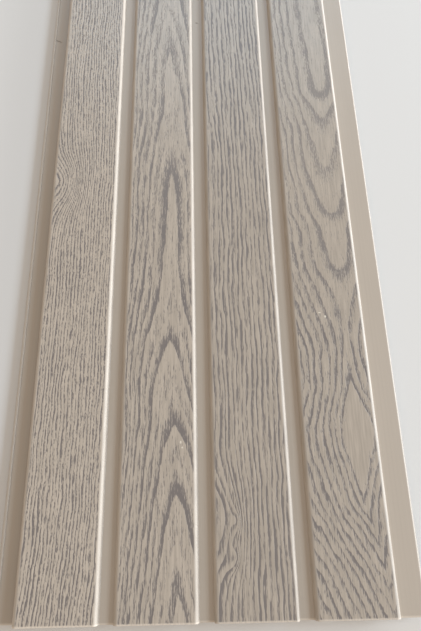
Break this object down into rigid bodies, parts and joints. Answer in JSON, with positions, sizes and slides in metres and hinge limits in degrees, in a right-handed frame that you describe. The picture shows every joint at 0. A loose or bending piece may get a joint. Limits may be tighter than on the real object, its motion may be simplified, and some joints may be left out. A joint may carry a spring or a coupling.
{
  "type": "wall panel",
  "caption": "Long extruded plastic wall panel with raised wood-grain strips, plain grooves between them, a nailing flange on one edge and a cover lip on the other.",
  "frame": {"origin": "centre of the panel's back, at mid length and mid width", "axes": "+X across the panel from the nailing flange to the cover lip, +Y along its length, +Z out of its face"},
  "size_m": [0.2064, 1.2, 0.009],
  "materials": {
    "panel_plastic": "cream foamed plastic with a satin grey-oak print on the raised strips"
  },
  "bodies": {
    "root": {"wall_panel": "panel_plastic"}
  },
  "joints": []
}
